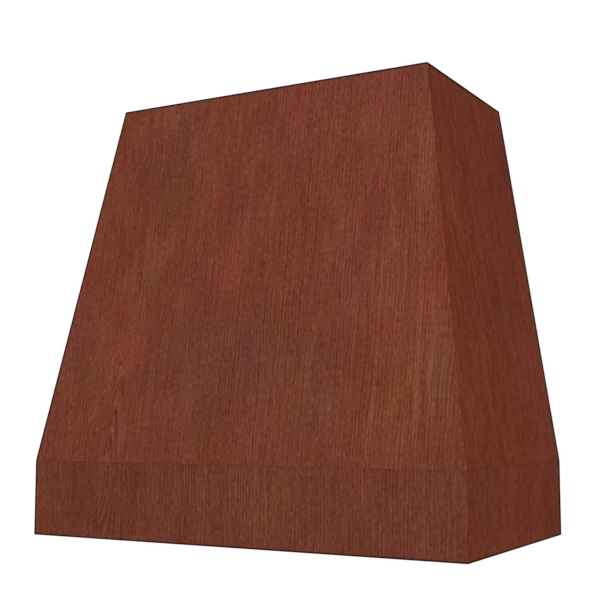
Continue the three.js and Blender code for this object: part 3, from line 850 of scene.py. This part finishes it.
def dress_inside(smoothing):
    """Each board inside, under its kind of wood: along its grain, and out of its broad face."""
    front_slope = broad_face("front_panel", FRONT)[1]
    left_slope = broad_face("left_side_panel", LEFT)[1]
    right_slope = broad_face("right_side_panel", RIGHT)[1]
    along_front = (RIGHT, UP)
    along_side = (BACK, UP)
    flat_on_wall = (RIGHT, BACK)
    upright_on_wall = (UP, BACK)
    up_left_corner = (left_slope.cross(front_slope), BACK)
    up_right_corner = (front_slope.cross(right_slope), BACK)
    up_left_side = (left_slope.cross(FRONT), BACK)
    up_right_side = (FRONT.cross(right_slope), BACK)
    timbers = {
        plywood: {
            "top_front_rail": along_front,
            "top_back_rail": along_front,
            "top_left_rail": along_side,
            "top_right_rail": along_side,
            "lower_back_rail": flat_on_wall,
            "hanging_rail": flat_on_wall,
            "wall_cleat": flat_on_wall,
            "left_back_stile": up_left_side,
            "right_back_stile": up_right_side,
        },
        poplar: {
            "front_knee_strip": flat_on_wall,
            "left_knee_strip": (BACK, LEFT),
            "right_knee_strip": (BACK, RIGHT),
            "left_corner_block": up_left_corner,
            "right_corner_block": up_right_corner,
            "left_corner_spline": up_left_corner,
            "right_corner_spline": up_right_corner,
            "left_band_spline": upright_on_wall,
            "right_band_spline": upright_on_wall,
            "front_ledger": along_front,
            "back_ledger": along_front,
            "left_ledger": along_side,
            "right_ledger": along_side,
        },
        stained_timber: {
            "liner_front_rail": along_front,
            "liner_back_rail": along_front,
            "liner_left_rail": along_side,
            "liner_right_rail": along_side,
        },
    }
    for make_finish, boards in timbers.items():
        for order, (node, (along, out)) in enumerate(boards.items()):
            board = inner_board(node, along, out, INNER_SEED + INNER_SEED_STEP * order)
            dress(node, make_finish(board))
            ease(node, smoothing, INNER_EASE)


# ---------- screws ----------

SCREW_SIDES = 24
SHANK_RADIUS = 1.95 * MM
ROOT_RADIUS = 1.35 * MM
NECK_RADIUS = 1.5 * MM
THREAD_PITCH = 1.8 * MM
RINGS_PER_TURN = 6
CREST_STEEPNESS = 4  # the crest takes half of the pitch
POINT_LENGTH = 4 * MM
POINT_BLUNTNESS = 0.08  # of the full thickness
NECK_LENGTH = 6 * MM  # plain, below the head
NECK_RUN_OUT = 0.3 * MM  # from the last of the thread to the plain neck
DRIVE = 2.6 * MM  # square recess
DRIVE_DEPTH = 1.5 * MM
PAN_RADIUS = 4.25 * MM
PAN_HEIGHT = 2.2 * MM
PAN_DOME_HEIGHT = 0.65 * PAN_HEIGHT
PAN_DOME_TURNS = [math.radians(degrees) for degrees in (25, 45, 60)]
FLAT_RADIUS = 3.95 * MM
FLAT_HEIGHT = 2.6 * MM
FLAT_RIM = 0.25 * MM
CHAMFER = 0.1 * MM
GOLDEN_TURN = math.radians(137.5)  # so that no two recesses line up


def ring_of(z, reach):
    """A ring of points at one height, `reach(angle)` from the axis."""
    angles = [2 * math.pi * i / SCREW_SIDES for i in range(SCREW_SIDES)]
    return [Vector((reach(a) * math.cos(a), reach(a) * math.sin(a), z)) for a in angles]


def round_ring(z, radius):
    return ring_of(z, lambda angle: radius)


def square_ring(z, width):
    return ring_of(z, lambda angle: width / 2 / max(abs(math.cos(angle)), abs(math.sin(angle))))


def thread_ring(z, swell):
    """A ring across the thread: its crest stands where the helix passes this height."""

    def reach(angle):
        phase = (z / THREAD_PITCH - angle / (2 * math.pi)) % 1.0
        crest = max(0.0, 1.0 - abs(phase - 0.5) * CREST_STEEPNESS)
        return swell * (ROOT_RADIUS + (SHANK_RADIUS - ROOT_RADIUS) * crest)

    return ring_of(z, reach)


def shank_rings(length, head_height):
    """From the point, up the thread, to the plain neck under the head."""
    neck = -head_height - NECK_LENGTH
    count = round((length + neck) / THREAD_PITCH * RINGS_PER_TURN)
    rings = []
    for i in range(count + 1):
        above_tip = (length + neck) * i / count
        swell = min(1.0, above_tip / POINT_LENGTH + POINT_BLUNTNESS)
        rings.append(thread_ring(above_tip - length, swell))
    rings.append(round_ring(neck + NECK_RUN_OUT, NECK_RADIUS))
    rings.append(round_ring(-head_height, NECK_RADIUS))
    return rings


def pan_rings():
    """A washer head: flat below, domed above."""
    rings = [round_ring(-PAN_HEIGHT, PAN_RADIUS), round_ring(-PAN_DOME_HEIGHT, PAN_RADIUS)]
    for turn in PAN_DOME_TURNS:
        rise = math.sin(turn) / math.sin(PAN_DOME_TURNS[-1])
        rings.append(round_ring(-PAN_DOME_HEIGHT * (1 - rise), PAN_RADIUS * math.cos(turn)))
    return rings


def flat_rings():
    """A countersunk head with a thin rim."""
    return [
        round_ring(-FLAT_RIM, FLAT_RADIUS),
        round_ring(-FLAT_RIM / 3, FLAT_RADIUS),
        round_ring(0, FLAT_RADIUS - CHAMFER),
    ]


def drive_rings():
    """The square recess, from the head's face to its bottom."""
    return [
        square_ring(0, DRIVE + 2 * CHAMFER),
        square_ring(-CHAMFER, DRIVE),
        square_ring(-DRIVE_DEPTH, DRIVE),
    ]


def screw_mesh(name, length, head_height, head):
    """A screw with its head's face at z = 0 and its point down the -Z axis."""
    sheet = bmesh.new()
    rings = shank_rings(length, head_height) + head + drive_rings()
    loops = [[sheet.verts.new(point) for point in ring] for ring in rings]
    for lower, upper in zip(loops, loops[1:]):
        for i in range(SCREW_SIDES):
            j = (i + 1) % SCREW_SIDES
            sheet.faces.new((lower[i], lower[j], upper[j], upper[i])).smooth = True
    sheet.faces.new(reversed(loops[0]))
    sheet.faces.new(loops[-1])
    bmesh.ops.recalc_face_normals(sheet, faces=sheet.faces)
    mesh = bpy.data.meshes.new(name)
    sheet.to_mesh(mesh)
    sheet.free()
    mesh.set_sharp_from_angle(angle=SMOOTH_BELOW)
    return mesh


def screw_axis(node):
    """The middle of a screw's head, the way that it faces, and its length, from its plain form."""
    points = {v.co.to_tuple(6) for v in bpy.data.objects[node].data.vertices}
    points = [Vector(point) for point in points]
    middle = sum(points, Vector()) / len(points)
    tip = max(points, key=lambda point: (point - middle).length)
    way = (middle - tip).normalized()
    length = max((point - tip).dot(way) for point in points)
    return tip + way * length, way, length


def put_screws(steel):
    """A threaded screw in the place of each plain one."""
    screws = sorted(node for node in frame["nodes"] if "screw" in node)
    meshes = {}
    for order, node in enumerate(screws):
        head, way, length = screw_axis(node)
        flat = "ledger" in node or "hanging" in node
        kind = "flat_screw" if flat else "pocket_screw"
        if kind not in meshes:
            rings, height = (flat_rings(), FLAT_HEIGHT) if flat else (pan_rings(), PAN_HEIGHT)
            meshes[kind] = screw_mesh(kind, length, height, rings)
            meshes[kind].materials.append(steel)
        turn = Matrix.Rotation(order * GOLDEN_TURN, 4, "Z")
        point_it = way.to_track_quat("Z", "Y").to_matrix().to_4x4()
        mesh = meshes[kind].copy()
        mesh.transform(Matrix.Translation(head) @ point_it @ turn)
        screw = bpy.data.objects.new(f"{node}_threaded", mesh)
        bpy.context.collection.objects.link(screw)
        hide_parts(node)
        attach(screw, "cover")


# ---------- making the camera and the studio ----------

FLOOR_MOTTLE = Noise(2, 3, 3, 3.0)
FLOOR_LEVELS = (0.98, 1.02)  # where the mottle is least and where it is most
FLOOR_ROUGHNESS = 0.8
FLOOR_RELIEF = 0.2 * MM
FLOOR_GLOSS = 0.1


def make_camera():
    data = bpy.data.cameras.new("camera")
    data.lens = LENS
    data.sensor_width = SENSOR
    data.clip_start = NEAREST_SEEN
    camera = bpy.data.objects.new("camera", data)
    camera.location = CAMERA_PLACE
    camera.rotation_euler = (math.pi / 2 + CAMERA_TILT, 0, CAMERA_TURN)
    bpy.context.collection.objects.link(camera)
    bpy.context.scene.camera = camera


def make_lamps():
    """Square soft lamps that look at the middle of the cover."""
    for name, lamp in LAMPS.items():
        data = bpy.data.lights.new(name, "AREA")
        data.size = lamp.width
        data.energy = lamp.power
        light = bpy.data.objects.new(name, data)
        light.location = (cad_box[0] + cad_box[1]) / 2 + lamp.way.normalized() * lamp.distance
        light.rotation_euler = lamp.way.to_track_quat("Z", "Y").to_euler()
        light.visible_glossy = False
        bpy.context.collection.objects.link(light)


def seen_directly(tree):
    """1 for rays that show the background itself: from the camera, a mirror or through glass."""
    rays = tree.nodes.new("ShaderNodeLightPath")
    total = rays.outputs["Is Camera Ray"]
    for name in ("Is Glossy Ray", "Is Transmission Ray"):
        larger = tree.nodes.new("ShaderNodeMath")
        larger.operation = "MAXIMUM"
        tree.links.new(total, larger.inputs[0])
        tree.links.new(rays.outputs[name], larger.inputs[1])
        total = larger.outputs[0]
    return total


def make_world():
    """White where it is seen, and a softer even light on the object."""
    world = bpy.data.worlds.new("studio")
    bpy.context.scene.world = world
    world.use_nodes = True
    tree = world.node_tree
    tree.nodes.clear()
    choose = tree.nodes.new("ShaderNodeMixShader")
    tree.links.new(seen_directly(tree), choose.inputs[0])
    for socket, strength in ((choose.inputs[1], AMBIENT), (choose.inputs[2], 1.0)):
        background = tree.nodes.new("ShaderNodeBackground")
        background.inputs["Color"].default_value = WHITE
        background.inputs["Strength"].default_value = strength
        tree.links.new(background.outputs[0], socket)
    output = tree.nodes.new("ShaderNodeOutputWorld")
    tree.links.new(choose.outputs[0], output.inputs["Surface"])


def floor_finish():
    """Pale and faintly mottled, and glowing white towards the rim where it is seen directly."""
    finish = Finish("floor_finish")
    x, y = (finish.dot(finish.place, way) for way in (RIGHT, BACK))
    mottle = finish.noise(FLOOR_MOTTLE, x, y)
    pale = finish.scale(FLOOR_COLOUR, finish.ramp(mottle, *FLOOR_LEVELS))
    finish.complete(pale, FLOOR_ROUGHNESS, mottle, FLOOR_RELIEF, FLOOR_GLOSS)
    from_middle = finish.math("SQRT", finish.add(finish.times(x, x), finish.times(y, y)))
    rim = finish.step(from_middle, FLOOR_PLAIN_RADIUS, FLOOR_RADIUS)
    glow = finish.tree.nodes.new("ShaderNodeEmission")
    choose = finish.tree.nodes.new("ShaderNodeMixShader")
    finish.feed(choose.inputs[0], finish.times(rim, seen_directly(finish.tree)))
    finish.feed(choose.inputs[1], finish.surface.outputs["BSDF"])
    finish.feed(choose.inputs[2], glow.outputs[0])
    finish.feed(finish.output.inputs["Surface"], choose.outputs[0])
    return finish.material


def make_floor():
    sheet = bmesh.new()
    bmesh.ops.create_circle(sheet, cap_ends=True, radius=FLOOR_RADIUS, segments=FLOOR_SIDES)
    mesh = bpy.data.meshes.new("floor")
    sheet.to_mesh(mesh)
    sheet.free()
    mesh.materials.append(floor_finish())
    floor = bpy.data.objects.new("floor", mesh)
    floor.location = (0, 0, FLOOR_LEVEL)
    bpy.context.collection.objects.link(floor)


# ---------- the scene ----------

make_camera()
make_world()
make_floor()
make_lamps()
bpy.context.scene.view_settings.view_transform = "Standard"

smoothing = smooth_by_angle()
dress_shell(smoothing)
dress_inside(smoothing)
put_screws(zinced_steel())
